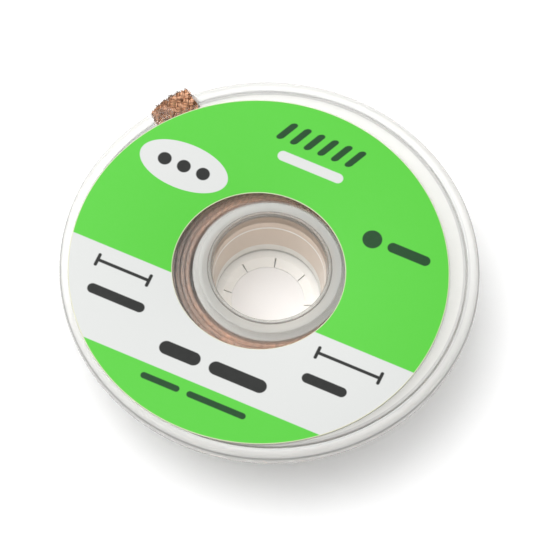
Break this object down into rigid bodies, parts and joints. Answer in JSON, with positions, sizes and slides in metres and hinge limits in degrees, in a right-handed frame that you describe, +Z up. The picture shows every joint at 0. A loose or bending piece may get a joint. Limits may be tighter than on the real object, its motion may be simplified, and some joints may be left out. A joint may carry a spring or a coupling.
{
  "type": "desoldering braid",
  "caption": "Flat woven copper braid wound in a round clear plastic case with a ring label, an open bore and a rim slot for the braid's end.",
  "frame": {"origin": "on the case's axis, at its flat underside", "axes": "+Z up along the bore, out of the labelled side; +X to the right of the picture; +Y away from the camera, with the braid's end at upper left"},
  "size_m": [0.042, 0.042, 0.0078],
  "materials": {
    "clear_plastic": "clear, slightly frosted",
    "label_paper": "printed, satin",
    "copper_braid": "woven bare copper wire"
  },
  "bodies": {
    "root": {"case_body": "clear_plastic", "case_lid": "clear_plastic", "label": "label_paper", "braid": "copper_braid"}
  },
  "joints": []
}
